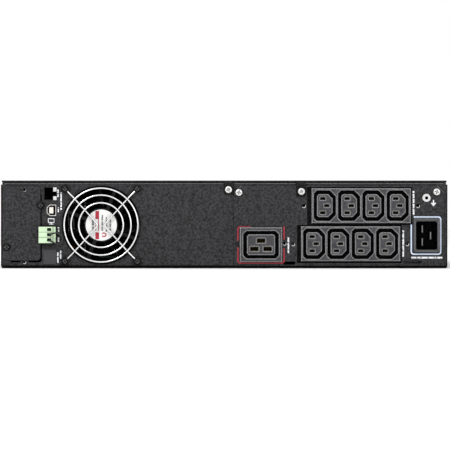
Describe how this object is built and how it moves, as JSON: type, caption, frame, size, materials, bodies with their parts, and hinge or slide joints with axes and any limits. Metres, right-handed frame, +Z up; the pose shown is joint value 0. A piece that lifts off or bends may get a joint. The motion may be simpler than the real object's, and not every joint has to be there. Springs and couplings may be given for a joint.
{
  "type": "rackmount ups",
  "caption": "Low rack-mount uninterruptible power supply with a rear wall of mains outlets, inlet, guarded fan and data ports, and a front battery drawer.",
  "frame": {"origin": "centre of the case underside, midway between the front bezel and the rear wall", "axes": "+Z up, +Y out of the rear wall, +X towards the fan side"},
  "size_m": [0.441, 0.5399, 0.0865],
  "materials": {
    "case_paint": "fine textured black powder coat",
    "panel_paint": "fine textured black powder coat",
    "zinc_sheet": "galvanised sheet",
    "black_screw": "black oxide",
    "bright_screw": "bright nickel",
    "fan_plastic": "black glass-filled plastic",
    "chrome_wire": "bright chrome wire",
    "label_paper": "printed film label",
    "black_plastic": "moulded, satin",
    "clear_plastic": "translucent white",
    "nickel_shell": "nickel plate",
    "white_plastic": "moulded, ivory",
    "green_plastic": "moulded, light green",
    "wire_sleeve": "black sleeve",
    "blank_plastic": "moulded, smooth grey",
    "outlet_plastic": "moulded, dark grey",
    "inlet_plastic": "moulded, black",
    "brass": "plain brass",
    "board": "solder-masked board",
    "sink_aluminium": "extruded, plain",
    "capacitor_sleeve": "shrink sleeve",
    "copper_enamel": "varnished windings",
    "core_steel": "varnished laminations",
    "battery_case": "moulded case",
    "connector_plastic": "moulded, grey",
    "bezel_plastic": "fine textured black",
    "display_plastic": "satin black",
    "lens_glass": "hard-coated window",
    "key_rubber": "soft keys"
  },
  "bodies": {
    "case": {"battery_bay_wall": "zinc_sheet", "battery_socket": "connector_plastic", "bulk_capacitors": "capacitor_sleeve", "card_cover_screws": "black_screw", "card_slot_cover": "panel_paint", "chassis_base": "case_paint", "choke": "copper_enamel", "comms_board": "board", "cover_screws": "bright_screw", "fan_frame": "fan_plastic", "fan_guard": "chrome_wire", "fan_label": "label_paper", "fan_screws": "black_screw", "front_bezel": "bezel_plastic", "ground_bush": "bright_screw", "heat_sink": "sink_aluminium", "inlet_housing": "inlet_plastic", "inlet_pins": "nickel_shell", "jack_light_pipes": "clear_plastic", "main_board": "board", "mains_filter": "zinc_sheet", "outlet_16a": "outlet_plastic", "outlet_contacts": "brass", "outlet_panel": "panel_paint", "outlet_strip_lower": "outlet_plastic", "outlet_strip_upper": "outlet_plastic", "port_blank_plate": "blank_plastic", "power_transistors": "black_plastic", "rear_wall": "panel_paint", "serial_jack": "black_plastic", "terminal_header": "black_plastic", "top_cover": "case_paint", "transformer_core": "core_steel", "transformer_windings": "copper_enamel", "usb_shell": "nickel_shell", "usb_tongue": "white_plastic"},
    "battery_module": {"battery_tray": "zinc_sheet", "battery_tabs": "brass", "battery_plug": "connector_plastic", "battery_bezel": "bezel_plastic", "tray_screws": "bright_screw", "battery_1": "battery_case", "battery_2": "battery_case", "battery_3": "battery_case", "battery_4": "battery_case", "battery_5": "battery_case", "battery_6": "battery_case"},
    "display": {"display_housing": "display_plastic", "display_lens": "lens_glass", "display_board": "board", "status_lenses": "clear_plastic"},
    "rotor": {"fan_rotor": "fan_plastic"},
    "control_plug": {"terminal_plug": "green_plastic", "terminal_screws": "bright_screw", "jumper_wire": "wire_sleeve"},
    "power_button": {"power_button": "key_rubber"},
    "key_up": {"key_up": "key_rubber"},
    "key_down": {"key_down": "key_rubber"},
    "key_enter": {"key_enter": "key_rubber"},
    "key_escape": {"key_escape": "key_rubber"}
  },
  "joints": [
    {"name": "fan_spin", "type": "hinge", "parent": "case", "child": "rotor", "pos_m": [0.1215, 0.245, 0.0425], "axis": [0, 1, 0], "continuous": true},
    {"name": "battery_slide", "type": "slide", "parent": "case", "child": "battery_module", "axis": [0, -1, 0], "range_m": [0, 0.3]},
    {"name": "display_tilt", "type": "hinge", "parent": "case", "child": "display", "pos_m": [0.156, -0.258, 0.071], "axis": [-1, 0, 0], "range_deg": [0, 45]},
    {"name": "plug_pull", "type": "slide", "parent": "case", "child": "control_plug", "axis": [0, 1, 0], "range_m": [0, 0.012]},
    {"name": "power_press", "type": "slide", "parent": "case", "child": "power_button", "axis": [0, 1, 0], "range_m": [0, 0.0012], "stiffness_N_per_m": 300},
    {"name": "key_up_press", "type": "slide", "parent": "display", "child": "key_up", "axis": [0, 1, 0], "range_m": [0, 0.001], "stiffness_N_per_m": 300},
    {"name": "key_down_press", "type": "slide", "parent": "display", "child": "key_down", "axis": [0, 1, 0], "range_m": [0, 0.001], "stiffness_N_per_m": 300},
    {"name": "key_enter_press", "type": "slide", "parent": "display", "child": "key_enter", "axis": [0, 1, 0], "range_m": [0, 0.001], "stiffness_N_per_m": 300},
    {"name": "key_escape_press", "type": "slide", "parent": "display", "child": "key_escape", "axis": [0, 1, 0], "range_m": [0, 0.001], "stiffness_N_per_m": 300}
  ]
}
